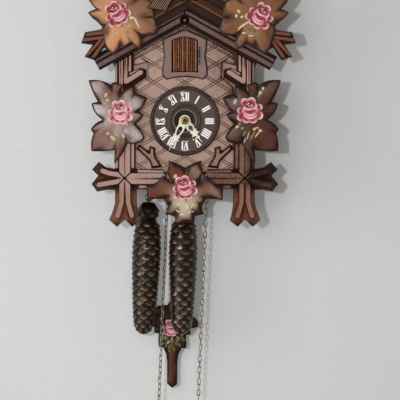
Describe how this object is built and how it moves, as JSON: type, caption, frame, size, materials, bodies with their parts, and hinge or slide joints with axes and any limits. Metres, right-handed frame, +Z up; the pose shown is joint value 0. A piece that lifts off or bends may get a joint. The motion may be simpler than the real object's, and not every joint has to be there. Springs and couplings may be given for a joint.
{
  "type": "cuckoo clock",
  "caption": "Wall-hung carved wooden cuckoo clock: gabled case with leaf and rose carvings, dial, hinged bird door, cone weights on chains and a leaf-shaped pendulum.",
  "frame": {"origin": "centre of the hanger hole, on the wall plane", "axes": "+X right seen from the front, +Y into the wall, +Z up"},
  "size_m": [0.1952, 0.129, 0.5053],
  "materials": {
    "carved_wood": "satin stained and lacquered",
    "leaf_wood": "satin, shaded stain",
    "door_wood": "satin",
    "dial_wood": "dark satin",
    "rose_paint": "painted, semi gloss",
    "cream_plastic": "ivory gloss",
    "bird_paint": "painted",
    "bronzed_iron": "dark bronzed",
    "chain_metal": "aged brass plate",
    "brass": "satin",
    "steel": "bright"
  },
  "bodies": {
    "case": {"case_side_left": "carved_wood", "case_side_right": "carved_wood", "case_bottom": "carved_wood", "hanger_rail": "carved_wood", "hanger_plate": "steel", "back_door": "carved_wood", "roof_board_left": "carved_wood", "roof_board_right": "carved_wood", "bargeboard_left": "carved_wood", "bargeboard_right": "carved_wood", "front_board": "carved_wood", "front_plate": "carved_wood", "door_frame": "carved_wood", "frame_brackets": "carved_wood", "cross_left": "carved_wood", "cross_right": "carved_wood", "twigs": "carved_wood", "leaf_left": "leaf_wood", "leaf_right": "leaf_wood", "leaf_bottom": "leaf_wood", "crown_leaf_left": "leaf_wood", "crown_leaf_right": "leaf_wood", "crown_board": "carved_wood", "crown_bird": "leaf_wood", "bird_tail": "leaf_wood", "bird_wings": "leaf_wood", "roses": "rose_paint", "dial": "dial_wood", "dial_numerals": "cream_plastic", "door_hinge": "steel", "movement_front_plate": "brass", "movement_back_plate": "brass", "movement_pillars": "brass", "cuckoo_rail": "carved_wood", "bellows": "door_wood", "gong": "steel"},
    "minute": {"centre_arbor": "steel", "minute_hand": "cream_plastic", "hand_nut": "brass"},
    "hour": {"hour_hand": "cream_plastic"},
    "escape": {"escape_wheel": "brass"},
    "pendulum": {"anchor": "steel", "pendulum_rod": "steel", "pendulum_bob": "leaf_wood", "rose_bob": "rose_paint"},
    "door": {"cuckoo_door": "door_wood"},
    "cuckoo": {"cuckoo": "bird_paint"},
    "hammer": {"hammer": "steel"},
    "time_weight": {"pinecone_time": "bronzed_iron", "chain_time_weight": "chain_metal"},
    "time_tail": {"chain_time_tail": "chain_metal", "hank_time": "chain_metal", "chain_fittings_time": "brass"},
    "time_wheel": {"chain_wheel_time": "brass"},
    "strike_weight": {"pinecone_strike": "bronzed_iron", "chain_strike_weight": "chain_metal"},
    "strike_tail": {"chain_strike_tail": "chain_metal", "hank_strike": "chain_metal", "chain_fittings_strike": "brass"},
    "strike_wheel": {"chain_wheel_strike": "brass"}
  },
  "joints": [
    {"name": "minute_turn", "type": "hinge", "parent": "case", "child": "minute", "pos_m": [0, -0.06, -0.068], "axis": [0, 1, 0], "continuous": true},
    {"name": "hour_turn", "type": "hinge", "parent": "case", "child": "hour", "pos_m": [0, -0.09, -0.068], "axis": [0, 1, 0], "continuous": true},
    {"name": "escape_turn", "type": "hinge", "parent": "case", "child": "escape", "pos_m": [0.001, -0.06, -0.052], "axis": [0, 1, 0], "continuous": true},
    {"name": "pendulum_swing", "type": "hinge", "parent": "case", "child": "pendulum", "pos_m": [0.001, -0.044, -0.038], "axis": [0, 1, 0], "range_deg": [-5, 5]},
    {"name": "cuckoo_slide", "type": "slide", "parent": "case", "child": "cuckoo", "axis": [0, -1, 0], "range_m": [0, 0.025]},
    {"name": "door_swing", "type": "hinge", "parent": "case", "child": "door", "pos_m": [0.01345, -0.0971, -0.008], "axis": [0, 0, 1], "range_deg": [0, 95]},
    {"name": "hammer_swing", "type": "hinge", "parent": "case", "child": "hammer", "pos_m": [0.026, -0.03, -0.036], "axis": [0, 1, 0], "range_deg": [-12, 2]},
    {"name": "time_weight_drop", "type": "slide", "parent": "case", "child": "time_weight", "axis": [-0.0419, 0, -0.9991], "range_m": [0, 0.03]},
    {"name": "time_tail_rise", "type": "slide", "parent": "case", "child": "time_tail", "axis": [-0.0419, 0, -0.9991], "range_m": [-0.03, 0]},
    {"name": "time_wheel_turn", "type": "hinge", "parent": "case", "child": "time_wheel", "pos_m": [-0.0224, -0.0606, -0.0855], "axis": [0, 1, 0], "range_deg": [-176, 0]},
    {"name": "strike_weight_drop", "type": "slide", "parent": "case", "child": "strike_weight", "axis": [-0.0419, 0, -0.9991], "range_m": [0, 0.03]},
    {"name": "strike_tail_rise", "type": "slide", "parent": "case", "child": "strike_tail", "axis": [-0.0419, 0, -0.9991], "range_m": [-0.03, 0]},
    {"name": "strike_wheel_turn", "type": "hinge", "parent": "case", "child": "strike_wheel", "pos_m": [0.0112, -0.0606, -0.0855], "axis": [0, 1, 0], "range_deg": [-176, 0]}
  ],
  "couplings": [
    {"joint": "hour_turn", "follows": "minute_turn", "ratio": 0.083333},
    {"joint": "door_swing", "follows": "cuckoo_slide", "rad_per_m": 66.32},
    {"joint": "time_tail_rise", "follows": "time_weight_drop", "ratio": -1},
    {"joint": "time_wheel_turn", "follows": "time_weight_drop", "rad_per_m": -102.04},
    {"joint": "strike_tail_rise", "follows": "strike_weight_drop", "ratio": -1},
    {"joint": "strike_wheel_turn", "follows": "strike_weight_drop", "rad_per_m": -102.04}
  ]
}
